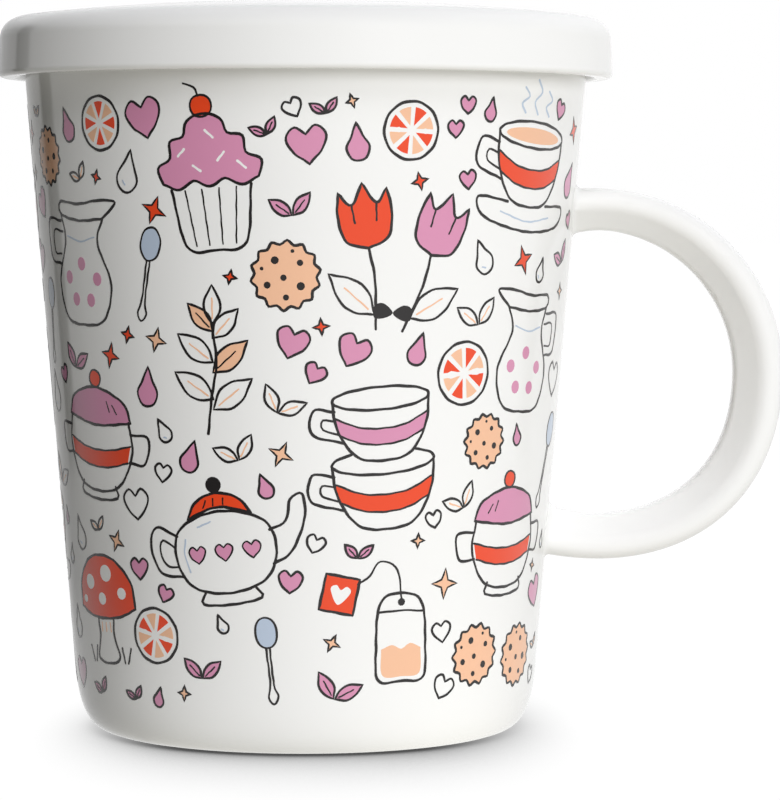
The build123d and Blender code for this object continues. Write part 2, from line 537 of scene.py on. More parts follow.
def make_infuser_sleeve():
    """Rolled sheet with rows of round holes in brick pattern, and a plain strip at the welded seam."""
    low = basket_foot + BASE_WALL + HOLE_MARGIN
    high = collar_foot - HOLE_MARGIN
    rows = round((high - low) / (HOLE_PITCH * math.sin(math.pi / 3)))
    columns = round(2 * math.pi * basket_radius((low + high) / 2) / HOLE_PITCH)
    row_height = (high - low) / rows
    seam_column = columns // 4
    border = ((1, 0), (1, 1), (0, 1), (-1, 1), (-1, 0), (-1, -1), (0, -1), (1, -1))
    per_edge = HOLE_SIDES // len(border)
    vertices, faces, found = [], [], {}

    def vertex(across, height, side):
        """A new vertex, that many half columns round the sleeve; side 0 is outside and 1 inside."""
        angle = math.pi * across / columns
        radius = basket_radius(height) - RIM_SHEET - side * SLEEVE_SHEET
        vertices.append((radius * math.cos(angle), radius * math.sin(angle), height))
        return len(vertices) - 1

    def shared(across, level, height, side):
        """A vertex between holes, which its neighbours share."""
        key = (across % (2 * columns), level, side)
        if key not in found:
            found[key] = vertex(across, height, side)
        return found[key]

    def sheet(loop, side):
        faces.append(loop if side == 0 else loop[::-1])

    for row in range(rows):
        middle = low + row_height * (row + 0.5)
        half_column = math.pi * basket_radius(middle) / columns
        for column in range(columns):
            centre = 2 * column + row % 2
            holes = []
            for side in (0, 1):
                edge = [
                    shared(centre + dx, 2 * row + 1 + dz, middle + dz * row_height / 2, side)
                    for dx, dz in border
                ]
                if abs(column - seam_column) <= 1:
                    sheet(edge, side)
                    continue
                hole = []
                for k in range(HOLE_SIDES):
                    turn = 2 * math.pi * k / HOLE_SIDES
                    across = centre + HOLE_RADIUS * math.cos(turn) / half_column
                    hole.append(vertex(across, middle + HOLE_RADIUS * math.sin(turn), side))
                for k in range(len(border)):
                    near = [hole[(per_edge * k + j) % HOLE_SIDES] for j in range(per_edge, -1, -1)]
                    sheet([edge[k], edge[(k + 1) % len(border)]] + near, side)
                holes.append(hole)
            if holes:
                outer, inner = (hole + hole[:1] for hole in holes)
                faces += strip(outer, inner)
    for edge_height, level, step in ((sleeve_foot, 0, -1), (sleeve_top, 2 * rows, 1)):
        border_height = low if level == 0 else high
        for across in range(2 * columns):
            rims = []
            for side in (0, 1):
                near = [shared(across + j, level, border_height, side) for j in (0, 1)]
                far = [shared(across + j, level + step, edge_height, side) for j in (0, 1)]
                sheet((near + far[::-1])[::step], side)
                rims.append(far)
            faces.append((rims[0] + rims[1][::-1])[::step])
    steel_piece("infuser_sleeve_steel", (vertices, faces), rolled_steel, "infuser_sleeve", METAL_CREASE)


def make_infuser_base():
    """A cap over the sleeve's lower end, with rings of round holes in its floor."""
    inner_radius = basket_radius(sleeve_foot) - RIM_SHEET
    rings = int((basket_radius(basket_foot) - HOLE_MARGIN) / HOLE_PITCH)
    holes = [Vector((0, 0))]
    for ring in range(1, rings + 1):
        holes += [unit(2 * math.pi * k / (6 * ring)) * ring * HOLE_PITCH for k in range(6 * ring)]

    def circle(centre, radius, count):
        return [centre + unit(2 * math.pi * k / count) * radius for k in range(count)]

    loops = [circle(Vector((0, 0)), inner_radius, FLOOR_SIDES)]
    loops += [circle(hole, HOLE_RADIUS, HOLE_SIDES) for hole in holes]
    points, edges = [], []
    for loop in loops:
        start = len(points)
        points += loop
        edges += [(start + k, start + (k + 1) % len(loop)) for k in range(len(loop))]
    flat, _, triangles, *_ = delaunay_2d_cdt(points, edges, [], 0, MERGE)

    def in_a_hole(triangle):
        middle = sum((flat[i] for i in triangle), Vector((0, 0))) / 3
        ring = round(middle.length / HOLE_PITCH)
        if ring > rings:
            return False
        place = round(math.atan2(middle.y, middle.x) / (2 * math.pi) * 6 * ring)
        hole = unit(place * 2 * math.pi / (6 * ring)) * ring * HOLE_PITCH if ring else Vector((0, 0))
        return (middle - hole).length <= HOLE_RADIUS * IN_HOLE

    kept = [tuple(triangle) for triangle in triangles if not in_a_hole(triangle)]
    vertices = [(p.x, p.y, height) for height in (sleeve_foot, basket_foot) for p in flat]
    shape = (vertices, plate_faces(kept, 0, len(flat)))
    steel_piece("infuser_floor_steel", shape, rolled_steel, "infuser_base", METAL_CREASE)
    cap_top = basket_foot + BASE_WALL
    corners = [
        (inner_radius - CAP_LAP, basket_foot, 0),
        (basket_radius(basket_foot) - RIM_SHEET + BASE_SHEET, basket_foot, CAP_BEND),
        (basket_radius(cap_top) - RIM_SHEET + BASE_SHEET, cap_top, CAP_EDGE),
        (basket_radius(cap_top) - RIM_SHEET, cap_top, CAP_EDGE),
        (inner_radius, sleeve_foot, 0),
        (inner_radius - CAP_LAP, sleeve_foot, 0),
    ]
    shape = lathe(rounded(corners, steps=6, hold=0.02, closed=True), closed=True)
    steel_piece("infuser_cap_steel", shape, drawn_steel)


# Print: generic tea-time drawings in millimetres, wrapped round the cup as thin closed films of ink

# Widths of the pen's lines
LINE = 0.42
SMALL_LINE = 0.36
SOFT_LINE = 0.34
THIN_LINE = 0.32
SLIM_LINE = 0.3
FINE_LINE = 0.24
# Heights of the inks' films on the wall; their undersides are sunk in it
LIFTS = {"peach": 0.018, "orange": 0.018, "mauve": 0.018, "white": 0.026, "blue": 0.026, "black": 0.032}
SINK = 0.03
CURVE_STEP = 0.5  # about how far apart a smooth line's points are
FILL_GRID = 0.75  # how far apart the points inside a patch are
FILL_CLEARANCE = 0.4  # least share of that between them and its outline
SWELL = 0.13  # how much a pen line swells and thins along its length
SWELL_LENGTH = 5.0  # length of line to a swell
WOBBLE = 0.03  # how far a pen line wanders to either side
films = {name: ([], []) for name in INKS}
pen = random.Random(5)


class Place:
    """Where a drawing goes on the wall: angle, height, turn and size."""

    def __init__(self, angle, height, turn=0.0, size=1.0, mirror=False):
        self.angle, self.height, self.turn, self.size = angle, height, turn, size
        self.flip = -1 if mirror else 1

    def flat(self, points):
        """Points of the drawing as millimetres along and up the wall."""
        turned = Matrix.Rotation(self.turn, 2)
        return [turned @ Vector((x * self.flip, y)) * self.size for x, y in points]

    def inner(self, x, y, turn=0.0, size=1.0):
        """The place of a smaller drawing inside this one."""
        spot = self.flat([(x, y)])[0]
        angle = self.angle + spot.x / side_radius(self.height)
        turn = self.turn + turn * self.flip
        return Place(angle, self.height + spot.y, turn, self.size * size, self.flip < 0)

    def wrap(self, point, lift):
        """A flat point of the drawing on the wall, lifted off it by millimetres."""
        height = self.height + point.y
        angle = self.angle + point.x / side_radius(self.height)
        radius = side_radius(height) + lift
        return (radius * math.cos(angle), radius * math.sin(angle), height)


def curve(points, closed=False):
    """A smooth line through the points."""
    points = [Vector(p) for p in points]
    if closed:
        guides = points[-1:] + points + points[:2]
    else:
        guides = [points[0] * 2 - points[1]] + points + [points[-1] * 2 - points[-2]]
    line = []
    for a, b, c, d in zip(guides, guides[1:], guides[2:], guides[3:]):
        parts = max(2, round((c - b).length / CURVE_STEP))
        for k in range(parts):
            t = k / parts
            bend = (2 * a - 5 * b + 4 * c - d) * t**2 + (3 * b - 3 * c + d - a) * t**3
            line.append(0.5 * (2 * b + (c - a) * t + bend))
    return line if closed else line + points[-1:]


def loop_of(*paths):
    """A closed outline of smooth lines, each starting where the one before it ends."""
    outline = []
    for path in paths:
        outline += curve(path)[:-1]
    return outline


def flipped(points):
    """The mirror image about x = 0, from its other end."""
    return [(-x, y) for x, y in reversed(points)]


def mirrored(points):
    """Points and their mirror images about x = 0, which carry the line on."""
    return points + flipped([point for point in points if point[0] != 0])


def oval(x, y, rx, ry, start=0, end=360):
    """Part of an ellipse, in degrees; a whole one leaves out its repeated last point."""
    count = max(10, round(math.radians(abs(end - start)) * max(rx, ry) / CURVE_STEP))
    last = count if abs(end - start) < 360 else count - 1
    turns = [math.radians(start + (end - start) * i / count) for i in range(last + 1)]
    return [Vector((x + rx * math.cos(t), y + ry * math.sin(t))) for t in turns]


def round_end(sample, sign):
    """Three narrowing samples on the half circle past a line's end, 28 degrees apart."""
    here, along, half = sample
    turns = [math.radians(28 * k) for k in (1, 2, 3)]
    return [(here + along * sign * half * math.sin(t), along, half * math.cos(t)) for t in turns]


def stroke(place, points, name="black", width=LINE, closed=False):
    """A pen line: it swells and wanders a little, and its open ends are round."""
    line = place.flat(points)
    count = len(line)
    length = sum((b - a).length for a, b in zip(line, line[1:]))
    waves = max(1, round(length / SWELL_LENGTH))
    swell, wander = pen.uniform(0, 2 * math.pi), pen.uniform(0, 2 * math.pi)
    samples = []
    for i, here in enumerate(line):
        before = line[i - 1] if i or closed else here
        after = line[(i + 1) % count] if i < count - 1 or closed else here
        along = (after - before).normalized()
        turn = 2 * math.pi * waves * i / count
        half = width / 2 * (1 + SWELL * math.sin(turn + swell))
        here = here + Vector((-along.y, along.x)) * WOBBLE * math.sin(2 * turn + wander)
        samples.append((here, along, half))
    if not closed:
        samples = round_end(samples[0], -1)[::-1] + samples + round_end(samples[-1], 1)
    vertices, faces = films[name]
    start = len(vertices)
    for here, along, half in samples:
        side = Vector((-along.y, along.x)) * half
        corners = ((side, LIFTS[name]), (-side, LIFTS[name]), (-side, -SINK), (side, -SINK))
        vertices += [place.wrap(here + offset, lift) for offset, lift in corners]
    rings = [[start + 4 * i + k for k in (0, 1, 2, 3, 0)] for i in range(len(samples))]
    for here, after in zip(rings, rings[1:] + rings[:1] if closed else rings[1:]):
        faces += strip(here, after)
    if not closed:
        faces += [rings[0][3::-1], rings[-1][:4]]


def is_inside(point, loop):
    """Whether a flat point lies within a closed outline."""
    crossings = 0
    for a, b in zip(loop, loop[1:] + loop[:1]):
        if (a.y > point.y) != (b.y > point.y):
            crossings += point.x < a.x + (point.y - a.y) * (b.x - a.x) / (b.y - a.y)
    return crossings % 2


def fill(place, points, name):
    """A patch of ink inside a closed outline, in triangles small enough to follow the wall."""
    loop = place.flat(points)
    count = len(loop)
    low = Vector((min(p.x for p in loop), min(p.y for p in loop)))
    high = Vector((max(p.x for p in loop), max(p.y for p in loop)))
    extra = []
    for i in range(1, int((high.x - low.x) / FILL_GRID) + 1):
        for j in range(1, int((high.y - low.y) / FILL_GRID) + 1):
            point = low + Vector((i + j % 2 / 2, j)) * FILL_GRID
            clearance = min((point - p).length for p in loop)
            if clearance > FILL_GRID * FILL_CLEARANCE and is_inside(point, loop):
                extra.append(point)
    edges = [(i, (i + 1) % count) for i in range(count)]
    flat, _, triangles, *_ = delaunay_2d_cdt(loop + extra, edges, [list(range(count))], 1, MERGE)
    vertices, faces = films[name]
    faces += plate_faces([tuple(triangle) for triangle in triangles], len(vertices), len(flat))
    for lift in (LIFTS[name], -SINK):
        vertices += [place.wrap(point, lift) for point in flat]


def patch(place, points, name, width=LINE):
    """A closed shape with a black line round it, filled if an ink is named."""
    if name:
        fill(place, points, name)
    stroke(place, points, width=width, closed=True)


def dots(place, spots, name="black"):
    """Small filled spots of (x, y, radius)."""
    for x, y, radius in spots:
        fill(place, oval(x, y, radius, radius), name)


def lines(place, paths, name="black", width=LINE):
    for path in paths:
        stroke(place, curve(path), name, width)


def band(place, top, low, name):
    """A coloured stripe between two lines."""
    fill(place, curve(top) + curve(low), name)
    lines(place, [top, low], width=SLIM_LINE)


# Small drawings

def draw_heart(place, name=None, width=SMALL_LINE):
    side = [(0, 1.7), (1.6, 3), (3.2, 1.6), (2.4, -0.8), (0, -3)]
    patch(place, loop_of(side, flipped(side)), name, width)


def draw_drop(place, name=None):
    side = [(0, 3.3), (1, 1), (2, -1), (1.3, -2.7), (0, -3.2)]
    patch(place, loop_of(side + flipped(side[:-1])), name, SMALL_LINE)
    if not name:
        lines(place, [[(-0.8, -1.6), (-0.2, -2.1)]], "blue", FINE_LINE)


def leaf(place, x, y, length, turn, name=None):
    """A pointed leaf with a rib, from its stalk end; the turn is in degrees."""
    turned = Matrix.Rotation(math.radians(turn), 2)

    def at(px, py):
        return Vector((x, y)) + turned @ Vector((px, py)) * length

    side = [(0, 0), (0.3, 0.2), (0.62, 0.2), (1, 0)]
    there, back = [at(*p) for p in side], [at(px, -py) for px, py in reversed(side)]
    patch(place, loop_of(there, back), name, SMALL_LINE)
    lines(place, [[at(0.14, 0), at(0.66, 0)]], "black" if name else "peach", FINE_LINE)


def draw_leaves(place, name=None):
    leaf(place, 0.15, -2.2, 5.2, 44, name)
    leaf(place, -0.15, -2.2, 5.2, 136, name)


def draw_star(place, name="peach"):
    """A small four-pointed twinkle."""
    points = [unit(math.radians(45 * k)) * (0.85 if k % 2 else 2.4) for k in range(8)]
    outline = []
    for a, b in zip(points, points[1:] + points[:1]):
        outline += [a, (a + b) / 2 * 0.97]
    patch(place, outline, name, SLIM_LINE)


# Middling drawings

def draw_biscuit(place):
    """A round biscuit with a wavy edge and dark chips."""
    edge = [unit(2 * math.pi * k / 28) * (5.1 + 0.35 * (-1) ** k) for k in range(28)]
    patch(place, curve(edge, True), "peach")
    dots(place, [(-2.2, 1.8, 0.62), (1.6, 2.5, 0.5), (2.7, -0.9, 0.65), (-0.2, -0.4, 0.5)])
    dots(place, [(-2.3, -2.2, 0.55), (1, -3.2, 0.48), (-3.8, 0, 0.3), (0, 3.9, 0.3)])


def draw_slice(place):
    """A round slice of citrus."""
    stroke(place, oval(0, 0, 5.2, 5.2), closed=True)
    for k in range(8):
        start = 45 * k + 6
        arc = oval(0, 0, 4.2, 4.2, start, start + 33)
        point = unit(math.radians(start + 16.5)) * 0.9
        fill(place, [point] + arc, "orange" if k % 2 else "peach")


def draw_spoon(place):
    patch(place, oval(0, 5.4, 2.1, 3.0), "blue", THIN_LINE)
    lines(place, [mirrored([(0.35, 2.4), (0.35, -4.6), (0.95, -7.2), (0, -8.6)])], width=THIN_LINE)


# Large drawings

def draw_teapot(place):
    body = [(0, 4.2), (6.4, 2.3), (7.9, -2), (5.8, -6.4), (0, -7.9)]
    stroke(place, curve(mirrored(body), True), closed=True)
    lid = loop_of(mirrored([(-5, 3.5), (-3.2, 5.9), (0, 6.9)]), [(5, 3.5), (0, 4.8), (-5, 3.5)])
    patch(place, lid, "orange")
    dots(place, [(0, 8.1, 1.2)])
    spout = [(7.3, 0.6), (9.8, 1.6), (10.9, 4.6), (12.7, 5.1), (12.5, 1.4), (10, -3), (7.2, -4.4)]
    lines(place, [spout, [(-7.2, 1.2), (-10.6, 2.9), (-12.2, 0.2), (-11, -3.8), (-7.2, -4.8)]])
    lines(place, [[(-7.9, -0.4), (-9.8, 0.9), (-10.6, -0.6), (-9.8, -2.8), (-7.7, -3.3)]], width=THIN_LINE)
    lines(place, [mirrored([(-4, -7.5), (-4.6, -9.1), (0, -9.6)])])
    for x in (-4.3, 0, 4.3):
        draw_heart(place.inner(x, -1.9, size=0.42), "mauve", 0.26)
    lines(place, [[(-5.9, 0.6), (-6.4, -1.6), (-5.9, -4.2)], [(-3.6, 2.2), (-1.4, 2.8)]], "blue", FINE_LINE)
    ticks = [[(-2.2, 4.9), (-1.6, 5.9)], [(-0.6, 5.1), (-0.4, 6.1)], [(1, 5.1), (1.1, 6)]]
    lines(place, ticks, width=FINE_LINE)


def bowl(place, x, y, size, name, hidden=0):
    """A cup seen from a little above; the hidden half-angle of its back rim is behind another thing."""
    def at(points):
        return [Vector((x + size * px, y + size * py)) for px, py in points]

    ends = (90 + hidden, 450 - hidden) if hidden else ()
    stroke(place, oval(x, y + 3.2 * size, 7.4 * size, 1.7 * size, *ends), closed=not hidden)
    side = mirrored([(-7.4, 3.2), (-7, -0.6), (-5.2, -4.2), (-2.6, -5.9)])
    lines(place, [at(side), at([(7.2, 1.7), (10.2, 2.1), (10.6, -1.4), (6.1, -3)])])
    lines(place, [at([(7.1, 0.3), (8.9, 0.6), (9, -0.8), (6.7, -1.7)])], width=THIN_LINE)
    top = mirrored([(-7.2, 0.7), (-3.6, -0.9), (0, -1.3)])
    low = mirrored([(6.4, -2), (3.4, -3.3), (0, -3.7)])
    band(place, at(top), at(low), name)


def draw_cup(place):
    """A steaming cup on its saucer."""
    bowl(place, 0, 0.5, 1.0, "orange")
    fill(place, oval(0, 3.6, 6.1, 1.0), "peach")
    lines(place, [mirrored([(-4.4, -5.2), (-9.8, -5), (-8.2, -7.6), (0, -8.8)])])
    lines(place, [mirrored([(-5.6, -6.6), (0, -7.5)])], "blue", FINE_LINE)
    for x, rise in ((-2.6, 3.2), (0.2, 4.4), (2.9, 3.2)):
        wave = [(x, 6.4), (x + 0.9, 6.4 + rise / 3), (x - 0.5, 6.4 + rise * 2 / 3), (x + 0.5, 6.4 + rise)]
        lines(place, [wave], "blue", SOFT_LINE)


def draw_stack(place):
    """One cup standing in another."""
    bowl(place, 0, 4.6, 0.92, "mauve")
    bowl(place, 0, -4.4, 1.0, "orange", hidden=39)


def draw_toadstool(place):
    cap = mirrored([(-8, 0.4), (-7.4, 4.6), (-4, 7.9), (0, 8.8)])
    patch(place, loop_of(cap, mirrored([(8, 0.4), (4.4, -0.9), (0, -1.3)])), "orange")
    spots = ((-3.9, 4.4, 1.35), (1.2, 5.9, 1.5), (5, 2.8, 1.05), (-0.4, 1.8, 1.1), (-6.2, 1.6, 0.7))
    for x, y, size in spots:
        fill(place, oval(x, y, size, size * 0.9), "white")
    lines(place, [mirrored([(-2.3, -1.2), (-2.1, -4.2), (-3.1, -7.6), (0, -8.5)])])
    lines(place, [[(x, -2), (x * 1.1, -3.4)] for x in (-1.2, 0, 1.2)], "peach", FINE_LINE)
    for x, lean in ((-5, -0.8), (-4.2, 0.6), (4.4, -0.5), (5.2, 0.9)):
        lines(place, [[(x, -8.3), (x + lean * 0.6, -6.9), (x + lean, -5.9)]], width=SOFT_LINE)


def draw_tulip(place, name, leaves):
    side = curve([(0, 1.4), (2.9, 2.6), (3.7, 6), (3.3, 9.2)])
    side += curve([(3.3, 9.2), (1.7, 7.4), (0, 10.2)])[1:]
    patch(place, side + flipped(side)[1:-1], name)
    lines(place, [[(1.7, 7.4), (1.5, 5)], [(-1.7, 7.4), (-1.5, 5)]], width=SLIM_LINE)
    lines(place, [[(0, 1.4), (0.4, -3), (-0.2, -9.6)]])
    for turn in leaves:
        leaf(place, 0.3 * math.cos(math.radians(turn)), -7.6, 8.4, turn)


def draw_bouquet(place):
    """Two tulips leaning apart, tied with a small dark bow."""
    draw_tulip(place.inner(-4.0, 0, 0.24, 0.95), "orange", [132])
    draw_tulip(place.inner(4.0, 0, -0.24, 0.95), "mauve", [48])
    for side in (-1, 1):
        bow = [(0, -6.6), (side * 1.4, -5.5), (side * 2.6, -5.9), (side * 2.5, -7.4), (side * 1.2, -7.4)]
        fill(place, curve(bow, True), "black")


def draw_jug(place):
    right = [(5, 6.4), (4.1, 2.6), (6.6, -3), (4.8, -8), (0, -8.9)]
    left = [(-4.8, -8), (-6.6, -3), (-4.1, 2.6), (-5.4, 6)]
    mouth = [(-5.4, 6), (-8, 8.3), (-4.6, 8.5), (0, 7.9), (5, 8.1), (5, 6.4), (0, 5.6), (-5.4, 6)]
    lines(place, [right + left, mouth, [(5.2, 5.4), (9.6, 5.4), (9.4, 0.2), (6, -0.6)]])
    lines(place, [[(4.8, 3.9), (7.8, 4), (7.8, 1), (5.6, 0.8)]], width=THIN_LINE)
    spots = ((-3.6, -2.4), (0, -0.4), (3.6, -2.4), (-1.9, -5.4), (1.9, -5.4))
    dots(place, [(x, y, 0.95) for x, y in spots], "mauve")
    lines(place, [mirrored([(-3.4, 3.4), (0, 2.7)])], "blue", FINE_LINE)


def draw_sprig(place):
    lines(place, [[(-1.2, -10), (-0.4, -5), (0.6, 0), (0.2, 5.6)]])
    for y, turn, length, name in (
        (-6.6, 36, 7.2, None),
        (-5.2, 146, 7.0, None),
        (-1.4, 40, 6.8, "peach"),
        (0, 142, 6.6, None),
        (3.4, 46, 5.6, None),
        (4.4, 132, 5.2, "peach"),
        (5.4, 88, 5.4, None),
    ):
        leaf(place, 0.04 * y + 0.1, y, length, turn, name)


def draw_cupcake(place):
    tiers = [(6.7, -0.8), (7.3, 1.3), (5.3, 2.5), (5.1, 4.6), (3.1, 5.2), (2.3, 7.1), (0, 7.9)]
    frill = [(-6.7, -0.8), (-4.4, -1.7), (-2.2, -0.7), (0, -1.6)]
    patch(place, loop_of(mirrored(tiers), mirrored(frill)), "mauve")
    patch(place, oval(0.1, 8.9, 1.5, 1.45), "orange", THIN_LINE)
    lines(place, [[(0.3, 10.2), (0.8, 11.4), (2.2, 12)]], width=SLIM_LINE)
    lines(place, [mirrored([(-5.6, -1.7), (-4.2, -9.2), (0, -9.9)])])
    lines(place, [[(x, -1.9), (x * 0.78, -9.2)] for x in (-3.6, -1.2, 1.2, 3.6)], width=FINE_LINE)
    sprinkles = ((-4.6, 0.9, 0.5), (-1.9, 2.2, -0.5), (1.6, 0.9, 0.4), (3.6, 3.1, -0.4), (-0.6, 5.2, 0.5))
    for x, y, lean in sprinkles:
        lines(place, [[(x - 0.5, y - lean), (x + 0.5, y + lean)]], "white", SMALL_LINE)


def draw_teabag(place):
    """A tea bag with its string and tag."""
    bag = [(-5.6, 1.4), (-3.9, 3.6), (0.1, 3.8), (1.8, 1.6), (2.2, -4), (1.9, -9.2)]
    bag += [(-1.9, -9.5), (-5.7, -9.2), (-6, -4)]
    stroke(place, curve(bag, True), closed=True)
    top = [(-5.2, -4.6), (-3.4, -3.8), (-1.9, -4.6), (-0.4, -3.9), (1.4, -4.5)]
    low = [(1.4, -4.5), (1.2, -8.5), (-1.9, -8.8), (-5, -8.5), (-5.2, -4.6)]
    fill(place, loop_of(top, low), "peach")
    lines(place, [[(-5.4, 1), (-1.9, 1.3), (1.6, 1.2)]], width=THIN_LINE)
    dots(place, [(-1.9, 2.6, 0.6)])
    lines(place, [[(-1.9, 3.2), (-1.2, 7.6), (1.4, 9), (3.1, 6.9), (4.9, 5.7)]], width=SLIM_LINE)
    tag = [(4.6, 6.4), (9.6, 7.6), (10.9, 2.2), (5.8, 1)]
    edge = []
    for a, b in zip(tag, tag[1:] + tag[:1]):
        edge += [Vector(a).lerp(Vector(b), k / 8) for k in range(8)]
    patch(place, edge, "orange")
    heart = curve([(0, 1.6), (1.6, 2.9), (3.1, 1.4), (0, -2.9), (-3.1, 1.4), (-1.6, 2.9)], True)
    fill(place.inner(7.7, 4.2, 0.24, 0.5), heart, "white")


def draw_sugar_bowl(place):
    lines(place, [mirrored([(-7, 2.6), (-7.6, -1.8), (-5, -6.4), (0, -7.6)])])
    lid = loop_of(mirrored([(-7.4, 2.6), (-5.8, 5.4), (0, 7)]), [(7.4, 2.6), (0, 1.7), (-7.4, 2.6)])
    patch(place, lid, "mauve")
    patch(place, oval(0, 8.2, 1.3, 1.2), "orange", THIN_LINE)
    for side in (-1, 1):
        lines(place, [[(side * 7.3, 1), (side * 10.6, 0.8), (side * 10, -2.8), (side * 7.1, -2.9)]])
    top = mirrored([(-7.3, -0.6), (-3.6, -1.5), (0, -1.8)])
    band(place, top, mirrored([(6.7, -3), (3.4, -3.9), (0, -4.2)]), "orange")
    lines(place, [mirrored([(-4.1, -6.6), (-4.4, -8.2), (0, -8.8)])])
    lines(place, [[(-4.6, 3.6), (-3.7, 4.8)], [(-3.1, 3.8), (-2.5, 5.2)]], width=FINE_LINE)


# Layout of the print

LARGE = [draw_teapot, draw_toadstool, draw_cup, draw_bouquet, draw_cupcake]
LARGE += [draw_jug, draw_stack, draw_sprig, draw_sugar_bowl, draw_teabag]
LARGE_STEP = 3  # drawings apart from the one above
LARGE_SIZE = 1.12
FULL_SIZE_RADIUS = 42  # of the wall; large drawings are smaller where it is slimmer
LARGE_CORE = 6.5  # radius of the middle that nothing else is drawn in
# Most that a large drawing is off its place, in radians round the cup and millimetres up it; most that
# it is turned, in degrees; and its range of sizes
LARGE_SHIFT = (0.03, 1.2, 9, (0.96, 1.04))
# The others, with the radius of the circle each takes up
MIDDLING = [(draw_biscuit, 5.4), (draw_slice, 5.2), (draw_spoon, 7.4)]
MAUVE_HEART = (lambda place: draw_heart(place, "mauve"), 3.5)
SMALL = [
    MAUVE_HEART,
    (draw_heart, 3.4),
    (draw_leaves, 3.9),
    (draw_drop, 3.3),
    MAUVE_HEART,
    (draw_star, 2.4),
    (lambda place: draw_leaves(place, "mauve"), 3.9),
    (lambda place: draw_star(place, "orange"), 2.4),
    (lambda place: draw_drop(place, "mauve"), 3.3),
]
SMALL_TURN = 30  # degrees
# What is scattered in turn: drawings, tries, least and most size, gap left round each
SCATTERED = [
    (MIDDLING, 4000, (0.75, 0.95), 0.9),
    (SMALL, 9000, (0.75, 1.0), 1.0),
    (SMALL, 9000, (0.42, 0.6), 0.9),
]
HANDLE_GAP = math.radians(16)  # half of the strip without large drawings
EDGE_SHARE = 0.9  # the scattered ones' middles keep off this share of it
COLUMNS = 9
COLUMN_HEIGHTS = ((86.5, 59.5, 32.5), (74.0, 46.0, 19.5))
PRINT_LOW, PRINT_HIGH = 6.5, 98.0


def drawn_so_far():
    """All the ink's points, to measure distances from."""
    points = [point for vertices, _ in films.values() for point in vertices]
    tree = KDTree(len(points))
    for i, point in enumerate(points):
        tree.insert(point, i)
    tree.balance()
    return tree


def clear_of(ink, taken, angle, height, reach):
    """Whether a round spot touches no large drawing's ink and lies in no other drawing."""
    if ink.find(Place(angle, height).wrap(Vector((0, 0)), 0))[2] < reach:
        return False
    for other, level, core in taken:
        if math.hypot((angle - other) * side_radius(height), height - level) < core + reach:
            return False
    return True


def scatter(dice, ink, taken, drawings, tries, sizes, gap):
    """Drawings dropped at random where they clear all that is drawn."""
    count = 0
    edge = HANDLE_GAP * EDGE_SHARE
    for _ in range(tries):
        draw, reach = drawings[count % len(drawings)]
        size = dice.uniform(*sizes)
        reach *= size
        angle = dice.uniform(edge, 2 * math.pi - edge)
        height = dice.uniform(PRINT_LOW + reach, PRINT_HIGH - reach)
        if clear_of(ink, taken, angle, height, reach + gap):
            turn = math.radians(dice.uniform(-SMALL_TURN, SMALL_TURN))
            draw(Place(angle, height, turn, size))
            taken.append((angle, height, reach))
            count += 1


def lay_out_print():
    """Large drawings in half-drop columns round the cup, and the others in what is left between them."""
    dice = random.Random(11)
    taken = []
    pitch = (2 * math.pi - 2 * HANDLE_GAP) / COLUMNS
    across, up, tilt, sizes = LARGE_SHIFT
    for column in range(COLUMNS):
        for height in COLUMN_HEIGHTS[column % 2]:
            angle = HANDLE_GAP + pitch * (column + 0.5) + dice.uniform(-across, across)
            height += dice.uniform(-up, up)
            turn = math.radians(dice.uniform(-tilt, tilt))
            size = LARGE_SIZE * side_radius(height) / FULL_SIZE_RADIUS * dice.uniform(*sizes)
            draw = LARGE[len(taken) * LARGE_STEP % len(LARGE)]
            draw(Place(angle, height, turn, size, mirror=dice.random() < 0.5))
            taken.append((angle, height, LARGE_CORE * size))
    ink = drawn_so_far()
    for settings in SCATTERED:
        scatter(dice, ink, taken, *settings)


def make_print():
    lay_out_print()
    for name, (vertices, faces) in films.items():
        mesh_object(f"print_{name}", vertices, faces, [INKS[name]], "mug", "china", sharp=PRINT_CREASE)


# Camera, stage and light

CAMERA_PLACE = (13.12, -561.65, 82.42)
CAMERA_PITCH = 3.208  # degrees down
CAMERA_ROLL = -0.08
CAMERA_LENS = 161.7
CAMERA_SENSOR = 36
FLOOR_REACH = 6.0
FLOOR_WHITE = 1.02  # a little over full, so that the paper is clean white
# Painted bounce light: the floor glows on the object, stronger from its front and right, in FLOOR_COLOUR
FLOOR_GLOW = {(0.1, -1, 0): 0.68, (1, 0, 0): 0.42}  # painted bounce light: a glow from each side of the floor
GLOW_START = -0.2  # cosine of the angle off that side where its bounce starts
FLOOR_COLOUR = (1.0, 0.99, 0.94)
# The floor's shadow is painted: ambient occlusion darkens the white that the camera sees
SHADOW_REACH = 0.09  # metres
SHADOW_OPENNESS = (0.22, 0.91)  # how open the floor is to the room where its painted shadow starts and ends
SHADOW_DEPTH = 0.08  # the floor's brightness where it is deepest
SHADOW_PLACE = (0, -0.012, 0)
SHADOW_SIZE = (0.046, 0.12, 1)  # half-sizes in metres of the ellipse that holds the painted shadow
SHADOW_CORE = 0.39  # share of that size where it starts to fade
# Painted reflection: a dark upright card, which is no object, in what shiny surfaces see of the room and
# floor
CARD_WAY = -129.5  # azimuth in degrees from the camera's side
CARD_FOOT_WAY = -132  # where its foot stands on the floor
# Cosines of the angles off the card's middle where its soft edge ends and starts
CARD_EDGE = (0.9915, 0.9965)
CARD_SEEN_FROM = (-0.040, 0.012, 0)  # the wall's left side, which mirrors it
CARD_FOOT = (0.28, 0.42)  # metres from the mug
PAINTED_CARD_DARKNESS = 0.93
CARD_TOP = (0.2, 0.4)  # sines of the elevations where the card starts and ends to give way
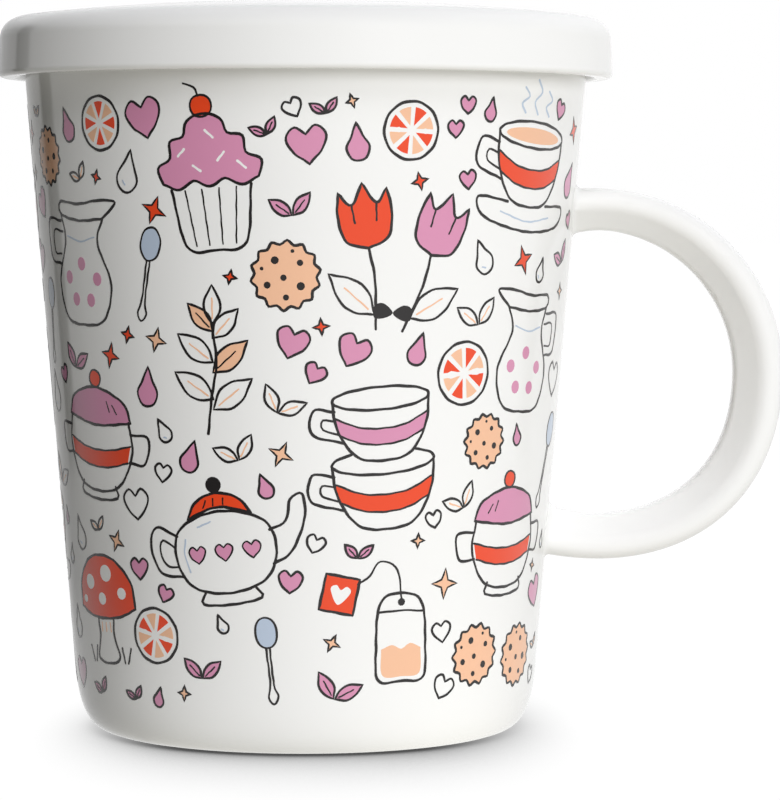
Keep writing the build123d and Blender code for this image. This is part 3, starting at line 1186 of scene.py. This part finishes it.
# Painted reflection: how bright the glaze sees the room, darkest on its left,
# by azimuth in degrees from the camera's side
PAINTED_LEFT_SIDE = {
    -180: 1.0,
    -166: 0.64,
    -150: 0.6,
    -136: 0.5,
    -121: 0.62,
    -105: 0.66,
    -84: 0.25,
    -50: 0.1,
    -28: 0.14,
    -8: 0.6,
    16: 1.0,
    180: 1.0,
}
LEFT_FOOT = (0.0, 0.2)  # metres from the mug where that painted darkness starts and is whole on the floor
# Azimuth and elevation in degrees, and strength
LAMPS = {
    "key": (32, 16, 1.7),
    "upper": (8, 50, 1.15),
    "side": (118, 10, 0.52),
    "behind": (145, 30, 0.52),
    "over": (180, 60, 1.1),
    "back": (-168, 15, 1.25),
}
LAMP_COLOUR = (0.94, 0.95, 1.0)
LAMP_SIZE = 30  # degrees


def make_camera():
    camera = add_object("camera", bpy.data.cameras.new("camera"))
    camera.location = Vector(CAMERA_PLACE) * MM
    camera.rotation_euler = (math.radians(90 - CAMERA_PITCH), math.radians(CAMERA_ROLL), 0)
    camera.data.lens = CAMERA_LENS
    camera.data.sensor_width = CAMERA_SENSOR
    bpy.context.scene.camera = camera


def joined(tree, operation, *values):
    """Several values put together by one operation."""
    total = values[0]
    for value in values[1:]:
        total = add_node(tree, "Math", {0: total, 1: value}, operation=operation).outputs[0]
    return total


def by_ray(tree, seen, reflected, lighting=None):
    """Joins what the camera sees, what shiny surfaces mirror and what lights the scene, if it does."""
    path = add_node(tree, "LightPath")
    camera, *others = (path.outputs[f"Is {kind} Ray"] for kind in ("Camera", "Glossy", "Transmission"))
    shown = add_node(tree, "MixShader", {"Fac": camera, 1: reflected, 2: seen}).outputs[0]
    shaders = {1: lighting, 2: shown} if lighting else {2: shown}
    direct = joined(tree, "MAXIMUM", camera, *others)
    return add_node(tree, "MixShader", {"Fac": direct, **shaders}).outputs[0]


def smooth_range(tree, value, low, high, to_low, to_high):
    inputs = {"Value": value, "From Min": low, "From Max": high, "To Min": to_low, "To Max": to_high}
    return add_node(tree, "MapRange", inputs, interpolation_type="SMOOTHSTEP").outputs["Result"]


def vector_step(tree, operation, *vectors):
    """The vector and the number that an operation on one or two vectors gives."""
    return add_node(tree, "VectorMath", dict(enumerate(vectors)), operation=operation).outputs


def direction_part(tree, vector, direction):
    """How far a vector points along one direction, -1 to 1."""
    way = vector_step(tree, "NORMALIZE", vector)["Vector"]
    return vector_step(tree, "DOT_PRODUCT", way, Vector(direction).normalized())["Value"]


def length_of(tree, vector):
    return vector_step(tree, "LENGTH", vector)["Value"]


def painted_dark_card(tree, vector, degrees):
    """How much of the painted dark card lies that way: 0 beside it and 1 on it."""
    level = vector_step(tree, "MULTIPLY", vector, (1, 1, 0))["Vector"]
    azimuth = math.radians(degrees)
    way = (math.sin(azimuth), -math.cos(azimuth), 0)
    return smooth_range(tree, direction_part(tree, level, way), *CARD_EDGE, 0, 1)


def painted_left_side(tree, vector, share):
    """Painted reflection: brightness of the mirrored room that way, darker on its left, where share tells
    how much of it shows.
    """
    (first, start), *inner, (last, end) = PAINTED_LEFT_SIDE.items()
    from_camera = vector_step(tree, "MULTIPLY", vector, (1, -1, 1))["Vector"]
    parts = add_node(tree, "SeparateXYZ", {"Vector": from_camera}).outputs
    azimuth = joined(tree, "ARCTAN2", parts["X"], parts["Y"])
    limits = {"From Min": math.radians(first), "From Max": math.radians(last)}
    span = add_node(tree, "MapRange", {"Value": azimuth, **limits})
    ramp = add_node(tree, "ValToRGB", {"Fac": span.outputs["Result"]})
    elements = ramp.color_ramp.elements
    elements[0].color = (start, start, start, 1)
    elements[1].color = (end, end, end, 1)
    for degrees, level in inner:
        elements.new((degrees - first) / (last - first)).color = (level, level, level, 1)
    inputs = {"Value": share, "To Min": 1, "To Max": ramp.outputs["Color"]}
    return add_node(tree, "MapRange", inputs).outputs["Result"]


def room(tree, vector, side_share, card, card_share):
    """Painted reflection: brightness of the mirrored room that way, with the dark card painted in."""
    shown = joined(tree, "MULTIPLY", card, card_share)
    light = add_node(tree, "MapRange", {"Value": shown, "To Min": 1, "To Max": 1 - PAINTED_CARD_DARKNESS})
    return joined(tree, "MULTIPLY", light.outputs["Result"], painted_left_side(tree, vector, side_share))


def make_floor():
    """White paper: a painted shadow where the mug stands close over it, a glow of painted bounce light, and
    a painted reflection.
    """
    mesh = bpy.data.meshes.new("floor")
    corners = [(-1, -1), (1, -1), (1, 1), (-1, 1)]
    mesh.from_pydata([(x * FLOOR_REACH, y * FLOOR_REACH, 0) for x, y in corners], [], [(0, 1, 2, 3)])
    floor = add_object("floor", mesh)
    material = bpy.data.materials.new("floor_white")
    floor.data.materials.append(material)
    tree = node_tree(material)
    place = add_node(tree, "TexCoord").outputs["Object"]
    # Painted bounce light: a glow towards the object, stronger on the floor's front and right sides
    glows = [
        smooth_range(tree, direction_part(tree, place, side), GLOW_START, 1.0, 0.0, strength)
        for side, strength in FLOOR_GLOW.items()
    ]
    inputs = {"Color": (*FLOOR_COLOUR, 1), "Strength": joined(tree, "ADD", *glows)}
    paper = add_node(tree, "Emission", inputs)
    # Painted shadow: ambient occlusion sets how bright the camera sees the floor, faded out past an ellipse
    openness = add_node(tree, "AmbientOcclusion", {"Distance": SHADOW_REACH}).outputs["AO"]
    shade = smooth_range(tree, openness, *SHADOW_OPENNESS, SHADOW_DEPTH, FLOOR_WHITE)
    inputs = {"Vector": place, "Location": SHADOW_PLACE, "Scale": SHADOW_SIZE}
    shadow = add_node(tree, "Mapping", inputs, vector_type="TEXTURE").outputs["Vector"]
    beyond = smooth_range(tree, length_of(tree, shadow), SHADOW_CORE, 1.0, 0, 1)
    white = add_node(tree, "Mix", {"Factor": beyond, "A": shade, "B": FLOOR_WHITE})
    seen = add_node(tree, "Emission", {"Strength": white.outputs["Result"]})
    # Painted reflection: what shiny surfaces see of the floor, darkened by the card's foot and on the left
    card = painted_dark_card(tree, vector_step(tree, "SUBTRACT", place, CARD_SEEN_FROM)["Vector"], CARD_FOOT_WAY)
    card_share, side_share = (
        smooth_range(tree, length_of(tree, place), *limits, 0, 1) for limits in (CARD_FOOT, LEFT_FOOT)
    )
    reflected = add_node(tree, "Emission", {"Strength": room(tree, place, side_share, card, card_share)})
    surface = by_ray(tree, seen.outputs[0], reflected.outputs[0], paper.outputs[0])
    add_node(tree, "OutputMaterial", {"Surface": surface})


def make_world():
    """A white room that lights nothing itself; what the glaze mirrors of it is painted, with a dark left
    side and a dark card.
    """
    world = bpy.data.worlds.new("studio")
    bpy.context.scene.world = world
    tree = node_tree(world)
    way = add_node(tree, "TexCoord").outputs["Generated"]
    # Painted reflection: what the glaze sees, darker on the left and by the card, low down only
    low = smooth_range(tree, direction_part(tree, way, (0, 0, 1)), *CARD_TOP, 1, 0)
    strength = room(tree, way, low, painted_dark_card(tree, way, CARD_WAY), low)
    seen, reflected = (
        add_node(tree, "Background", {"Color": (1, 1, 1, 1), "Strength": value}).outputs[0]
        for value in (1.0, strength)
    )
    add_node(tree, "OutputWorld", {"Surface": by_ray(tree, seen, reflected)})


def make_lamp(name, azimuth, elevation, strength):
    """A far soft lamp; the glaze mirrors the white room instead of it."""
    light = bpy.data.lights.new(name, "SUN")
    light.energy = strength
    light.color = LAMP_COLOUR
    light.angle = math.radians(LAMP_SIZE)
    lamp = add_object(name, light)
    turn, rise = math.radians(azimuth), math.radians(elevation)
    lamp.location = (math.sin(turn) * math.cos(rise), -math.cos(turn) * math.cos(rise), math.sin(rise))
    lamp.rotation_euler = (-lamp.location).to_track_quat("-Z", "Y").to_euler()
    lamp.visible_glossy = False


bpy.context.scene.view_settings.view_transform = "Standard"
make_camera()
make_floor()
make_world()
for name, settings in LAMPS.items():
    make_lamp(name, *settings)

make_cup()
make_handle()
make_lid()
make_infuser_rim()
make_infuser_sleeve()
make_infuser_base()
make_print()
